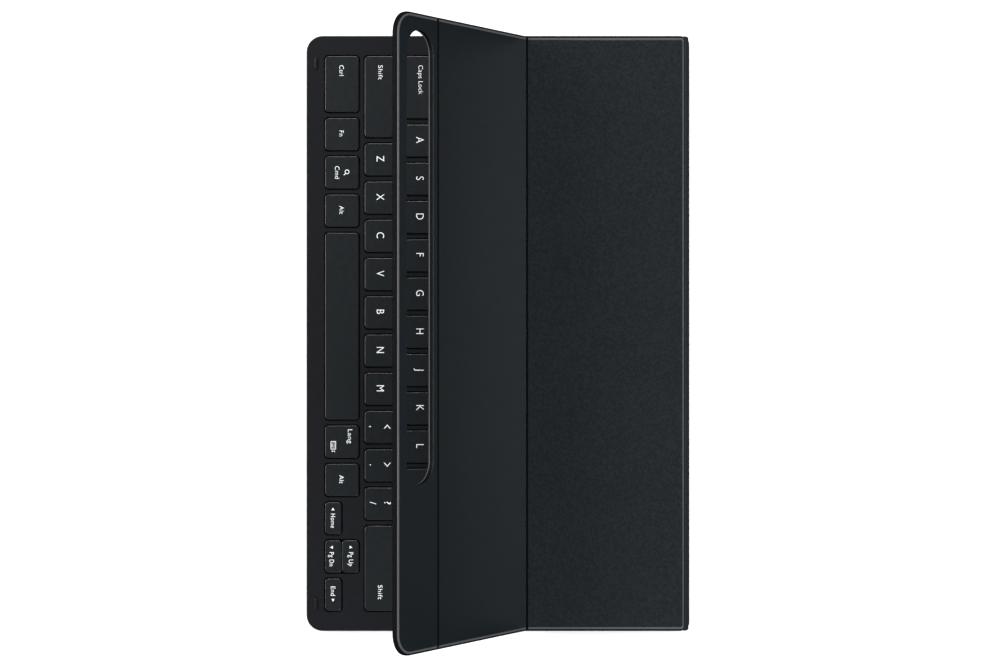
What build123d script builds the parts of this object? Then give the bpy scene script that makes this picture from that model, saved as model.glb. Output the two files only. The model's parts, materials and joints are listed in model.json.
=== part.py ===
"""Tablet keyboard case: a slim folio with a keyboard deck, a spine and a two-part cover.

Frame: X runs along the keyboard to the user's right, Y from the front edge back to the spine, Z up.
The origin is at the middle of the bounding box's footprint, on the surface the case lies on.
All sizes are in millimetres.
"""

import os
from math import cos, radians, sin

from build123d import *

os.makedirs("parts", exist_ok=True)

# ---- keyboard deck ----
DECK_WIDTH = 288.0
DECK_FRONT_Y = -92.5
DECK_REAR_Y = 89.9
FRONT_CORNER = 7.8
REAR_CORNER = 1.5
LEATHER = 0.7  # outer skin thickness
FRAME_TOP = 4.4
FRAME_PLATE = 1.2
FRAME_WALL = 1.2
FRAME_EDGE = 0.5
SKIN_EDGE = 0.4
SKIN_REAR_GAP = 0.3  # from the skin's rear edge to the spine's hinge line
FIT = 0.1  # gap round parts that drop into a recess
BASE_TOP = 1.5

# ---- key grid ----
UNIT = 18.5
WEB = 2.3  # deck between two neighbouring keys
ROW_PITCH = 19.14
KEY_DEPTH = 16.9
HALF_DEPTH = 8.5
GRID_LEFT_X = -134.45
GRID_FRONT_Y = -83.8
KEY_GAP = 0.6  # between a cap and its opening
CAP_TOP = 5.1
CAP_BOTTOM = 3.4
CAP_PLATE = 0.9
CAP_WALL = 1.0
CAP_CORNER = 1.6
CAP_EDGE = 0.35

# ---- inside the deck ----
SWITCH_PLATE = 0.3
MEMBRANE = 0.2
DOME_SHEET = 0.15
DOME_TOP = 3.0
DOME_FOOT_RADIUS = 1.5
DOME_HEAD_RADIUS = 0.9
LINK_BOTTOM = 2.2
LINK_HEIGHT = 0.7
LINK_BAR = 0.9
LINK_WIDTH = 10.5
LINK_INSET = 2.8
KEY_AREA_REAR_Y = 21.6
TAIL_WIDTH = 16.0
TAIL_LENGTH = 18.0
TAIL_OVERLAP = 3.0
TAIL_OPENING = 20.0
BOARD_SIZE = (60.0, 20.0, 0.8)
BOARD_Y = 43.0
BOARD_BOSS_RADIUS = 1.6
BOARD_BOSS_INSET = 3.0
CHIPS = [  # offset from the board's middle, then width and depth
    ((-12.0, 1.0), (7.0, 7.0)),
    ((8.0, 3.0), (5.0, 4.0)),
    ((22.0, 0.0), (3.0, 9.0)),
]
CHIP_HEIGHT = 0.3
RIB_TOP = 3.1
RIB = 1.2
RIB_YS = (32.0, 58.0, 72.0, 86.0)
RIB_END = 5.0  # from a rib's end to the deck's side
CROSS_RIB_PITCH = 44.0
CROSS_RIB_COUNT = 7
CROSS_RIB_Y = 72.0
CROSS_RIB_LENGTH = 28.0
BOARD_RIB_X = 36.0
BOARD_RIB_Y = 45.0
BOARD_RIB_LENGTH = 26.0
PLATE_INSET = 3.0  # the plate, membrane and dome sheet each sit further in than the last
LAYER_STEP = 1.0
PLATE_SLOT = (12.0, 1.2)
PLATE_SLOT_PITCH = 36.0
LINK_SPACE = 0.4  # between the outer and inner link

# ---- dock ----
DOCK_LENGTH = 140.0
DOCK_DEPTH = 6.0
DOCK_Y = 25.8
DOCK_TOP = 5.2
PIN_PITCH = 3.2
PIN_RADIUS = 0.75
PIN_HOLE = 0.95
PIN_BOTTOM = 3.3
PIN_TIP = 5.5
PIN_TIP_EDGE = 0.3
PIN_FLANGE = 0.25  # how far the flange stands out past the hole
PIN_FLANGE_HEIGHT = 0.7
PIN_OPENING_DEPTH = 3.2
PIN_OPENING_CORNER = 0.8
DOCK_END_RADIUS = 2.9
DOCK_EDGE = 0.4
MAGNET_HEIGHT = 0.5
DOCK_MAGNET = (14.0, 3.6)
DOCK_MAGNET_PITCH = 20.0
BUMPER = (5.6, 1.3)
BUMPER_X = 130.7
BUMPER_Y = -88.0
BUMPER_TOP = 5.3
BUMPER_EDGE = 0.3

# ---- cover ----
COVER_WIDTH = 287.0
COVER_BOTTOM = 5.6
COVER_TOP = 8.3
AXIS_DEPTH = 0.35  # creases turn this far under the outer face
FOLD_Y = 13.8
FOLD_ANGLE = 57.0
FOLD_GAP = 0.65
STRIP_CREASE = 75.4  # from the fold, along the upper section
CREASE_GAP = 0.5
UPPER_LENGTH = 107.2
UPPER_CORNER = 10.5
SPINE_Y = 90.15
SPINE_OUTER_Y = 92.5
SPINE_END = 2.2  # how much shorter than the cover the spine is at each end
SPINE_CORNER = 0.5
SPINE_BOARD = 1.0
SPINE_BOARD_END = 1.0
SPINE_BOARD_EDGE = 0.5
SPINE_BOARD_FIT = 0.05
SPINE_GAP_BELOW = 0.3  # from the spine to each hinge line's clear height
SPINE_GAP_ABOVE = 0.2
SPINE_GAP_INSIDE = 0.1
PANEL_REAR_GAP = 0.3
LINING = 0.5
COVER_WALL = 1.2
COVER_EDGE = 0.6
PANEL_CORNER = 0.6
SLOT_X = -34.1
SLOT_LENGTH = 203.4
SLOT_WIDTH = 20.2
SLOT_FROM_EDGE = 7.6
COVER_MAGNET = (22.0, 8.0, 1.0)
COVER_MAGNET_PITCH = 44.0
COVER_MAGNET_COUNT = 6
COVER_MAGNET_ROWS = (-18.0, -58.0)

fold_z = COVER_TOP - AXIS_DEPTH
outer = AXIS_DEPTH
inner = COVER_BOTTOM - fold_z
slot_y = -(UPPER_LENGTH - SLOT_FROM_EDGE - SLOT_WIDTH / 2)

plate_top = BASE_TOP + SWITCH_PLATE
membrane_top = plate_top + MEMBRANE

# ---- key rows, front to back: name and width in units ----
ctrl_row = [
    ("ctrl_key", 1.62),
    ("fn_key", 1.0),
    ("command_key", 1.0),
    ("left_alt_key", 1.0),
    ("space_key", 5.04),
    ("language_key", 1.0),
    ("right_alt_key", 1.0),
    ("home_key", 1.0),
    ("page_keys", 1.0),
    ("end_key", 1.0),
]
shift_row = (
    [("left_shift_key", 2.28)]
    + [(f"{letter}_key", 1.0) for letter in "zxcvbnm"]
    + [("comma_key", 1.0), ("period_key", 1.0), ("slash_key", 1.0), ("right_shift_key", 2.38)]
)
home_row = (
    [("caps_lock_key", 1.79)]
    + [(f"{letter}_key", 1.0) for letter in "asdfghjkl"]
    + [("home_row_end_keys", 1.0), ("home_row_end_keys", 1.0), ("home_row_end_keys", 1.87)]
)
tab_row = [("tab_row_keys", width) for width in [1.5] + 12 * [1.0] + [1.16]]
number_row = [("number_and_function_keys", width) for width in 13 * [1.0] + [1.66]]
function_row = [("number_and_function_keys", 14.66 / 14)] * 14


def row_places(row, number, depth=KEY_DEPTH):
    """The name, centre and size of each key's place in a row."""
    places = []
    left = GRID_LEFT_X
    front = GRID_FRONT_Y + number * ROW_PITCH
    for name, units in row:
        width = units * UNIT - WEB
        places.append((name, left + width / 2, front + depth / 2, width, depth))
        left += units * UNIT
    return places


def half_place(place, name, part="front", overlap=0.0):
    """The front or rear half of a key's place."""
    _, x, y, width, depth = place
    half = HALF_DEPTH + overlap
    shift = (depth - half) / 2
    return (name, x, y - shift if part == "front" else y + shift, width, half)


openings = []
caps = []
for number, row in enumerate([ctrl_row, shift_row, home_row, tab_row, number_row]):
    for place in row_places(row, number):
        if place[0] in ("home_key", "end_key"):
            openings.append(half_place(place, place[0]))
            caps.append(openings[-1])
        elif place[0] == "page_keys":
            openings.append(place)
            caps.append(half_place(place, "page_down_key", "front", KEY_GAP / 4))
            caps.append(half_place(place, "page_up_key", "rear", KEY_GAP / 4))
        else:
            openings.append(place)
            caps.append(place)
function_places = row_places(function_row, 5, HALF_DEPTH)
openings += function_places
caps += function_places


def deck_outline(inset):
    """The deck's outline, moved in by inset: round corners in front, tight ones at the spine."""
    depth = DECK_REAR_Y - DECK_FRONT_Y
    with BuildSketch() as outline:
        with Locations((0, (DECK_REAR_Y + DECK_FRONT_Y) / 2)):
            Rectangle(DECK_WIDTH - 2 * inset, depth - 2 * inset)
        fillet(outline.vertices().group_by(Axis.Y)[0], radius=FRONT_CORNER - inset)
        fillet(outline.vertices().group_by(Axis.Y)[-1], radius=max(REAR_CORNER - inset, 0.2))
    return outline.sketch


def save(name, builder):
    """Label a finished piece and write it."""
    builder.part.label = name
    export_step(builder.part, f"parts/{name}.step")


# ---- deck: skin, base and frame ----
with BuildPart() as deck_skin:
    with BuildSketch() as skin_outline:
        skin_rear = SPINE_OUTER_Y - AXIS_DEPTH - SKIN_REAR_GAP
        with Locations((0, (skin_rear + DECK_FRONT_Y) / 2)):
            Rectangle(DECK_WIDTH, skin_rear - DECK_FRONT_Y)
        fillet(skin_outline.vertices().group_by(Axis.Y)[0], radius=FRONT_CORNER)
        fillet(skin_outline.vertices().group_by(Axis.Y)[-1], radius=REAR_CORNER)
    extrude(amount=LEATHER)
    fillet(deck_skin.edges().group_by(Axis.Z)[0], radius=SKIN_EDGE)
save("deck_skin", deck_skin)

with BuildPart() as deck_base:
    with BuildSketch(Plane.XY.offset(LEATHER)):
        add(deck_outline(FRAME_WALL + FIT))
    extrude(amount=BASE_TOP - LEATHER)
    with BuildSketch(Plane.XY.offset(BASE_TOP)):
        for rib_y in RIB_YS:
            with Locations((0, rib_y)):
                Rectangle(DECK_WIDTH - 2 * RIB_END, RIB)
        with GridLocations(CROSS_RIB_PITCH, 1, CROSS_RIB_COUNT, 1):
            with Locations((0, CROSS_RIB_Y)):
                Rectangle(RIB, CROSS_RIB_LENGTH)
        with GridLocations(2 * BOARD_RIB_X, 1, 2, 1):
            with Locations((0, BOARD_RIB_Y)):
                Rectangle(RIB, BOARD_RIB_LENGTH)
    extrude(amount=RIB_TOP - BASE_TOP)
    with BuildSketch(Plane.XY.offset(BASE_TOP)):
        with Locations((0, BOARD_Y)):
            boss_inset = 2 * BOARD_BOSS_INSET
            with GridLocations(BOARD_SIZE[0] - boss_inset, BOARD_SIZE[1] - boss_inset, 2, 2):
                Circle(BOARD_BOSS_RADIUS)
    extrude(amount=membrane_top - BASE_TOP)
    with BuildSketch(Plane.XY.offset(BASE_TOP)):
        with Locations((0, RIB_YS[0])):
            Rectangle(TAIL_OPENING, 2 * RIB)
    extrude(amount=RIB_TOP - BASE_TOP, mode=Mode.SUBTRACT)
save("deck_base", deck_base)

with BuildPart() as deck_frame:
    with BuildSketch(Plane.XY.offset(LEATHER)):
        add(deck_outline(0))
    extrude(amount=FRAME_TOP - LEATHER)
    fillet(deck_frame.edges().group_by(Axis.Z)[-1], radius=FRAME_EDGE)
    with BuildSketch(Plane.XY.offset(LEATHER)):
        add(deck_outline(FRAME_WALL))
    extrude(amount=FRAME_TOP - FRAME_PLATE - LEATHER, mode=Mode.SUBTRACT)
    with BuildSketch(Plane.XY.offset(FRAME_TOP - FRAME_PLATE)):
        for name, x, y, width, depth in openings:
            with Locations((x, y)):
                RectangleRounded(width + KEY_GAP, depth + KEY_GAP, CAP_CORNER + KEY_GAP)
        with Locations((0, DOCK_Y)):
            RectangleRounded(4 * PIN_PITCH, PIN_OPENING_DEPTH, PIN_OPENING_CORNER)
    extrude(amount=FRAME_PLATE, mode=Mode.SUBTRACT)
save("deck_frame", deck_frame)

# ---- under the keys: plate, membrane, domes and scissor links ----
key_area_depth = KEY_AREA_REAR_Y - DECK_FRONT_Y - PLATE_INSET
key_area_y = KEY_AREA_REAR_Y - key_area_depth / 2


def key_area(step):
    """The outline of a layer under the keys, each step a little further in."""
    inset = step * LAYER_STEP
    with BuildSketch() as outline:
        with Locations((0, key_area_y)):
            RectangleRounded(
                DECK_WIDTH - 2 * (PLATE_INSET + inset),
                key_area_depth - 2 * inset,
                FRONT_CORNER - PLATE_INSET - inset,
            )
    return outline.sketch


with BuildPart() as switch_plate:
    with BuildSketch(Plane.XY.offset(BASE_TOP)):
        add(key_area(0))
        with Locations((0, GRID_FRONT_Y + 3 * ROW_PITCH - WEB / 2)):
            with GridLocations(PLATE_SLOT_PITCH, ROW_PITCH, 8, 5):
                SlotOverall(*PLATE_SLOT, mode=Mode.SUBTRACT)
    extrude(amount=SWITCH_PLATE)
save("switch_plate", switch_plate)

with BuildPart() as membrane:
    with BuildSketch(Plane.XY.offset(plate_top)):
        add(key_area(1))
        with Locations((0, KEY_AREA_REAR_Y - TAIL_OVERLAP + TAIL_LENGTH / 2)):
            Rectangle(TAIL_WIDTH, TAIL_LENGTH)
    extrude(amount=MEMBRANE)
save("membrane", membrane)

with BuildPart() as dome_sheet:
    with BuildSketch(Plane.XY.offset(membrane_top)):
        add(key_area(2))
    extrude(amount=DOME_SHEET)
    with Locations(*[(x, y, membrane_top) for name, x, y, width, depth in caps]):
        Cone(
            DOME_FOOT_RADIUS,
            DOME_HEAD_RADIUS,
            DOME_TOP - membrane_top,
            align=(Align.CENTER, Align.CENTER, Align.MIN),
        )
save("dome_sheet", dome_sheet)

with BuildPart() as scissor_links:
    with BuildSketch(Plane.XY.offset(LINK_BOTTOM)):
        for name, x, y, width, depth in caps:
            reach = depth - KEY_GAP - LINK_INSET
            with Locations((x, y)):
                Rectangle(LINK_WIDTH, reach)
                Rectangle(LINK_WIDTH - 2 * LINK_BAR, reach - 2 * LINK_BAR, mode=Mode.SUBTRACT)
                if depth > HALF_DEPTH + KEY_GAP:
                    inside = 2 * (LINK_BAR + LINK_SPACE)
                    Rectangle(LINK_WIDTH - inside, reach - inside)
                    inside += 2 * LINK_BAR
                    Rectangle(LINK_WIDTH - inside, reach - inside, mode=Mode.SUBTRACT)
    extrude(amount=LINK_HEIGHT)
save("scissor_links", scissor_links)

with BuildPart() as controller_board:
    with BuildSketch(Plane.XY.offset(membrane_top)):
        with Locations((0, BOARD_Y)):
            Rectangle(BOARD_SIZE[0], BOARD_SIZE[1])
    extrude(amount=BOARD_SIZE[2])
    with BuildSketch(Plane.XY.offset(membrane_top + BOARD_SIZE[2])):
        for (x, y), (width, depth) in CHIPS:
            with Locations((x, BOARD_Y + y)):
                Rectangle(width, depth)
    extrude(amount=CHIP_HEIGHT)
save("controller_board", controller_board)

# ---- dock: bar, spring pins, magnets; bumpers at the front corners ----
pin_places = [(column * PIN_PITCH, DOCK_Y) for column in (-1, 0, 1)]
magnet_places = [(column * DOCK_MAGNET_PITCH, DOCK_Y) for column in (-3, -2, 2, 3)]

with BuildPart() as dock_bar:
    with BuildSketch(Plane.XY.offset(FRAME_TOP)):
        with Locations((0, DOCK_Y)):
            RectangleRounded(DOCK_LENGTH, DOCK_DEPTH, DOCK_END_RADIUS)
        with Locations(*pin_places):
            Circle(PIN_HOLE, mode=Mode.SUBTRACT)
    extrude(amount=DOCK_TOP - FRAME_TOP)
    fillet(dock_bar.faces().sort_by(Axis.Z)[-1].outer_wire().edges(), radius=DOCK_EDGE)
    with BuildSketch(Plane.XY.offset(FRAME_TOP)):
        with Locations(*magnet_places):
            Rectangle(DOCK_MAGNET[0] + 2 * FIT, DOCK_MAGNET[1] + 2 * FIT)
    extrude(amount=MAGNET_HEIGHT, mode=Mode.SUBTRACT)
save("dock_bar", dock_bar)

with BuildPart() as dock_magnets:
    with BuildSketch(Plane.XY.offset(FRAME_TOP)):
        with Locations(*magnet_places):
            Rectangle(*DOCK_MAGNET)
    extrude(amount=MAGNET_HEIGHT)
save("dock_magnets", dock_magnets)

with BuildPart() as connector_pins:
    with BuildSketch(Plane.XY.offset(PIN_BOTTOM)):
        with Locations(*pin_places):
            Circle(PIN_RADIUS)
    extrude(amount=PIN_TIP - PIN_BOTTOM)
    with BuildSketch(Plane.XY.offset(PIN_BOTTOM)):
        with Locations(*pin_places):
            Circle(PIN_HOLE + PIN_FLANGE)
    extrude(amount=PIN_FLANGE_HEIGHT)
    fillet(connector_pins.edges().group_by(Axis.Z)[-1], radius=PIN_TIP_EDGE)
save("connector_pins", connector_pins)

with BuildPart() as deck_bumpers:
    with BuildSketch(Plane.XY.offset(FRAME_TOP)):
        with Locations((-BUMPER_X, BUMPER_Y), (BUMPER_X, BUMPER_Y)):
            SlotOverall(*BUMPER)
    extrude(amount=BUMPER_TOP - FRAME_TOP)
    fillet(deck_bumpers.edges().group_by(Axis.Z)[-1], radius=BUMPER_EDGE)
save("deck_bumpers", deck_bumpers)


# ---- keycaps ----
def keycaps(name):
    """The caps that carry this name: thin shells with soft top edges, hollow underneath."""
    mine = [cap[1:] for cap in caps if cap[0] == name]
    with BuildPart() as shell:
        with BuildSketch(Plane.XY.offset(CAP_BOTTOM)):
            for x, y, width, depth in mine:
                with Locations((x, y)):
                    RectangleRounded(width - KEY_GAP, depth - KEY_GAP, CAP_CORNER)
        extrude(amount=CAP_TOP - CAP_BOTTOM)
        fillet(shell.edges().group_by(Axis.Z)[-1], radius=CAP_EDGE)
        with BuildSketch(Plane.XY.offset(CAP_BOTTOM)):
            for x, y, width, depth in mine:
                wall = KEY_GAP + 2 * CAP_WALL
                with Locations((x, y)):
                    RectangleRounded(width - wall, depth - wall, CAP_CORNER - CAP_WALL)
        extrude(amount=CAP_TOP - CAP_PLATE - CAP_BOTTOM, mode=Mode.SUBTRACT)
    return shell


for cap_name in dict.fromkeys(cap[0] for cap in caps):
    save(cap_name, keycaps(cap_name))

# ---- spine ----
spine_bottom = 2 * AXIS_DEPTH + SPINE_GAP_BELOW
spine_top = fold_z - AXIS_DEPTH - SPINE_GAP_ABOVE
spine_inner_y = SPINE_Y + SPINE_GAP_INSIDE
spine_length = COVER_WIDTH - 2 * SPINE_END

with BuildPart() as spine_skin:
    with BuildSketch(Plane.YZ):
        with Locations(((spine_inner_y + SPINE_OUTER_Y) / 2, (spine_bottom + spine_top) / 2)):
            RectangleRounded(SPINE_OUTER_Y - spine_inner_y, spine_top - spine_bottom, SPINE_CORNER)
            Rectangle(
                SPINE_BOARD + 2 * SPINE_BOARD_FIT,
                spine_top - spine_bottom - 2 * SPINE_BOARD_EDGE,
                mode=Mode.SUBTRACT,
            )
    extrude(amount=spine_length / 2, both=True)
save("spine_skin", spine_skin)

with BuildPart() as spine_board:
    with BuildSketch(Plane.YZ):
        with Locations(((spine_inner_y + SPINE_OUTER_Y) / 2, (spine_bottom + spine_top) / 2)):
            Rectangle(SPINE_BOARD, spine_top - spine_bottom - 2 * (SPINE_BOARD_EDGE + SPINE_BOARD_FIT))
    extrude(amount=spine_length / 2 - SPINE_BOARD_END, both=True)
save("spine_board", spine_board)


# ---- cover panels ----
def panel_outline(y_from, y_to, inset, radius=PANEL_CORNER, slot=False):
    """A panel's outline from one edge to the other, moved in by inset, its y_to corners round."""
    with BuildSketch() as outline:
        with Locations((0, (y_from + y_to) / 2)):
            Rectangle(COVER_WIDTH - 2 * inset, abs(y_to - y_from) - 2 * inset)
        ends = outline.vertices().group_by(Axis.Y)
        rounded = ends[0] if y_to < y_from else ends[-1]
        if radius > inset:
            fillet(rounded, radius=radius - inset)
        if slot:
            with Locations((SLOT_X, slot_y)):
                SlotOverall(SLOT_LENGTH + 2 * inset, SLOT_WIDTH + 2 * inset, mode=Mode.SUBTRACT)
    return outline.sketch


def panel_skin(plane, outline):
    """The leather of one panel: its outer face and turned-down edges, open on the inner side."""
    with BuildPart() as skin:
        with BuildSketch(plane.offset(inner)):
            add(outline(0))
        extrude(amount=outer - inner)
        top = skin.faces().sort_by(Axis(plane.origin, plane.z_dir))[-1]
        fillet(top.edges(), radius=COVER_EDGE)
        with BuildSketch(plane.offset(inner)):
            add(outline(COVER_WALL))
        extrude(amount=outer - inner - LEATHER, mode=Mode.SUBTRACT)
    return skin


def panel_layer(plane, outline, low, high):
    """A flat layer that fills a panel's skin between two heights."""
    with BuildPart() as layer:
        with BuildSketch(plane.offset(low)):
            add(outline(COVER_WALL + FIT))
        extrude(amount=high - low)
    return layer


def lower_outline(inset):
    return panel_outline(FOLD_GAP, SPINE_Y - PANEL_REAR_GAP - FOLD_Y, inset, REAR_CORNER)


def upper_outline(inset):
    return panel_outline(-FOLD_GAP, -(STRIP_CREASE - CREASE_GAP), inset)


def strip_outline(inset):
    return panel_outline(-(STRIP_CREASE + CREASE_GAP), -UPPER_LENGTH, inset, UPPER_CORNER, slot=True)


tilt = radians(FOLD_ANGLE)
lower_plane = Plane(origin=(0, FOLD_Y, fold_z), x_dir=(1, 0, 0), z_dir=(0, 0, 1))
upper_plane = Plane(origin=(0, FOLD_Y, fold_z), x_dir=(1, 0, 0), z_dir=(0, sin(tilt), cos(tilt)))

panels = [
    ("lower_panel", lower_plane, lower_outline),
    ("upper_panel", upper_plane, upper_outline),
    ("pen_strip", upper_plane, strip_outline),
]
lining_top = inner + LINING
board_top = outer - LEATHER
upper_magnet_places = [
    ((column - (COVER_MAGNET_COUNT - 1) / 2) * COVER_MAGNET_PITCH, y)
    for y in COVER_MAGNET_ROWS
    for column in range(COVER_MAGNET_COUNT)
]

for panel_name, plane, outline in panels:
    save(f"{panel_name}_skin", panel_skin(plane, outline))
    save(f"{panel_name}_lining", panel_layer(plane, outline, inner, lining_top))
    if panel_name != "upper_panel":
        save(f"{panel_name}_board", panel_layer(plane, outline, lining_top, board_top))

with BuildPart() as upper_panel_board:
    with BuildSketch(upper_plane.offset(lining_top)):
        add(upper_outline(COVER_WALL + FIT))
    extrude(amount=board_top - lining_top)
    with BuildSketch(upper_plane.offset(lining_top)):
        with Locations(*upper_magnet_places):
            Rectangle(COVER_MAGNET[0] + 2 * FIT, COVER_MAGNET[1] + 2 * FIT)
    extrude(amount=COVER_MAGNET[2], mode=Mode.SUBTRACT)
save("upper_panel_board", upper_panel_board)

with BuildPart() as upper_panel_magnets:
    with BuildSketch(upper_plane.offset(lining_top)):
        with Locations(*upper_magnet_places):
            Rectangle(COVER_MAGNET[0], COVER_MAGNET[1])
    extrude(amount=COVER_MAGNET[2])
save("upper_panel_magnets", upper_panel_magnets)
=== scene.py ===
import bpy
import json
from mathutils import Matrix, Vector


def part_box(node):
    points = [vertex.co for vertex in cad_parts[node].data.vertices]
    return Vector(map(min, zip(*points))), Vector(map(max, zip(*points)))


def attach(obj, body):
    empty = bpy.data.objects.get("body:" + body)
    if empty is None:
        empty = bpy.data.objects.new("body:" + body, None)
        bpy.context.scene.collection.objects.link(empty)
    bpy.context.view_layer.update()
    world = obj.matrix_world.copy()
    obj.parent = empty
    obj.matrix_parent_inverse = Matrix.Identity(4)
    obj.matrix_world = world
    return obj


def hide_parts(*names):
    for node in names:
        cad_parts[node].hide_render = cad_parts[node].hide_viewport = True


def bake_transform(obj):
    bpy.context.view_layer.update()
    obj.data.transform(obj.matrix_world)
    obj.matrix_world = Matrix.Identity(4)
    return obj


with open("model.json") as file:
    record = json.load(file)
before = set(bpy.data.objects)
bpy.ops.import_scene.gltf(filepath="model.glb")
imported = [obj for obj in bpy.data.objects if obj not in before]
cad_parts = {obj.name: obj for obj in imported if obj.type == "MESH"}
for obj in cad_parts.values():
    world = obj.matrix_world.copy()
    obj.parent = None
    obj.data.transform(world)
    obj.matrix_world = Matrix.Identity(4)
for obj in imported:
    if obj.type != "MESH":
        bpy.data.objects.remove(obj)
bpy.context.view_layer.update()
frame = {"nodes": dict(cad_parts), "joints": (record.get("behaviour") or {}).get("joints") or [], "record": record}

import json
import math

import bmesh
import bpy
from mathutils import Vector

MM = 0.001

# ---- places, worked out from the frame ----
joints = {joint["name"]: joint for joint in frame["joints"]}
fold = Vector(joints["cover_fold"]["pos_m"])
crease = Vector(joints["strip_fold"]["pos_m"])
spine_axis = Vector(joints["spine_hinge"]["pos_m"])
cover_axis = Vector(joints["cover_hinge"]["pos_m"])

ALONG_LOWER = Vector((0, 1, 0))
UP = Vector((0, 0, 1))
along_upper = (crease - fold).normalized()
normal_upper = Vector((1, 0, 0)).cross(-along_upper)


def span(node, origin, direction):
    """How far a CAD node reaches along a direction, from an origin."""
    reach = [(v.co - origin).dot(direction) for v in frame["nodes"][node].data.vertices]
    return min(reach), max(reach)


half_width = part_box("lower_panel_skin")[1].x
skin_low, skin_high = span("lower_panel_skin", fold, UP)
lower_from, lower_to = span("lower_panel_skin", fold, ALONG_LOWER)
upper_from, upper_to = span("upper_panel_skin", fold, along_upper)
strip_from, strip_to = span("pen_strip_skin", fold, along_upper)

# ---- sizes of the visual pieces ----
ARC_STEPS = 10
CURVE_STEPS = 4
MERGE_DISTANCE = 0.0005 * MM
SMALLEST_CORNER = 0.02 * MM

# the leather's edges and the slot
INNER_ROUND = 0.3 * MM
INNER_STEPS = 4
FLAT_RIM = 0.15 * MM
REAR_CORNER = 1.5 * MM
LINE_CORNER = 1.3 * MM  # the painted highlight line's corner, where the outline's own corner is rounded
FREE_CORNER = 10.5 * MM
SQUARE_CORNER = 0.5 * MM
SLOT_CENTRE_X = -34.1 * MM
SLOT_LENGTH = 203.4 * MM
SLOT_WIDTH = 20.2 * MM
SLOT_FROM_EDGE = 7.6 * MM
SLOT_ROUND = 0.35 * MM
SLOT_CHAMFER = (0.1 * MM, 0.03 * MM)
SLOT_LINE = (0.3 * MM, 0.85 * MM)  # heights of the painted highlight line low on the slot's wall

# the linings
LINING_INSET = 1.3 * MM
LINING_RISE = 0.12 * MM
LINING_THICK = 0.4 * MM
LINING_TURN = [(0.05 * MM, 0.7), (0.25 * MM, 1.0)]  # inset, share of the rise
LINING_BORDER = 3.2 * MM
LINING_GROOVE = 0.06 * MM
GROOVE_HALF = 0.25 * MM
LINING_FLAT = 0.7 * MM

# what bends at the creases
WEB_DEPTH = 0.8 * MM
WEB_DIP = 0.25 * MM
WEB_THICK = 0.35 * MM
WEB_TUCK = 0.35 * MM
WEB_INSET = 0.3 * MM
WEB_LINING_INSET = 0.8 * MM
STRIP_TAPER = 0.3 * MM
# a strip's end: how much of the taper lies behind, and how thick it is there
STRIP_END = [(0.0, 0.55), (0.12, 0.8), (0.35, 1.0), (0.65, 1.0), (1.0, 1.0)]
COVER_BEND_THICK = 0.4 * MM
COVER_BEND_INSET = 0.2 * MM
COVER_BEND_CORNER = 1.1 * MM
SPINE_BEND_THICK = 0.35 * MM
SPINE_BEND_INSET = 0.1 * MM
SPINE_PLAY = 0.02 * MM
SPINE_END_ROUND = 0.8 * MM
# the spine's end: how far from its tip, and how much of the rounding is left there
SPINE_END = [(0.0, 1.0), (0.15 * MM, 0.5), (0.5 * MM, 0.2), (1.2 * MM, 0.0)]

# the print on the keys
LEGEND_LIFT = 0.012 * MM
LETTER_HEIGHT = 3.9 * MM
WORD_HEIGHT = 2.3 * MM
SMALL_HEIGHT = 2.3 * MM
SYMBOL_HEIGHT = 3.3 * MM
CAPITAL_SHARE = 0.73  # how much of a font's size its capitals take
LETTER_SPACING = 1.06
LETTER_WEIGHT = -0.010  # how far the strokes swell, as a share of the height
LEFT_MARGIN = 4.45 * MM
RIGHT_MARGIN = 5.6 * MM
LEGEND_DROP = 0.3 * MM
LETTER_DROP = 0.75 * MM
LETTER_FLAT = 0.86  # widths are scaled by this
WORD_SHIFT = -0.35 * MM
SHIFT_FLAT = 1.2
LEFT_SHIFT_DROP = 0.6 * MM
RIGHT_SHIFT_DROP = 0.75 * MM
BRACKET_SIZE = (2.0 * MM, 3.4 * MM)
BRACKET_STROKE = 0.42 * MM
PUNCTUATION_RISE = 2.8 * MM
PUNCTUATION_DROP = 4.25 * MM
PAIR_RISE = 2.9 * MM
PAIR_DROP = 4.0 * MM
QUESTION_FLAT = 1.35
PUNCTUATION_FLAT = 1.15
ARROW_SIZE = 1.45 * MM
RING_STEPS = 24
UNIT = 18.5 * MM  # from a key to the next; the widths below are in such units
KEY_SPACING = 2.9 * MM
TAB_WIDTH = 1.5
BACKSLASH_WIDTH = 1.16
ENTER_WIDTH = 1.87
DELETE_WIDTH = 1.66
ROW_WIDTH = 14.66
FUNCTION_KEYS = 14
SHORT_KEY = 10 * MM  # keys less deep than this carry small words
LEFT_PART = -100 * MM  # words on keys further left than this start at the key's left


# ---- materials ----
def material(name, colour, roughness):
    """A material with its main shader, ready for its grain."""
    made = bpy.data.materials.new(name)
    made.use_nodes = True
    shader = made.node_tree.nodes["Principled BSDF"]
    shader.inputs["Base Color"].default_value = (*colour, 1)
    shader.inputs["Roughness"].default_value = roughness
    return made, made.node_tree, shader


def coordinates(tree, scale=(1, 1, 1)):
    """Object coordinates, which are metres in the part's own frame."""
    place = tree.nodes.new("ShaderNodeTexCoord")
    mapping = tree.nodes.new("ShaderNodeMapping")
    mapping.inputs["Scale"].default_value = scale
    tree.links.new(place.outputs["Object"], mapping.inputs["Vector"])
    return mapping.outputs["Vector"]


def noise(tree, vector, scale, detail=2):
    node = tree.nodes.new("ShaderNodeTexNoise")
    node.inputs["Scale"].default_value = scale
    node.inputs["Detail"].default_value = detail
    tree.links.new(vector, node.inputs["Vector"])
    return node.outputs["Fac"]


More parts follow.
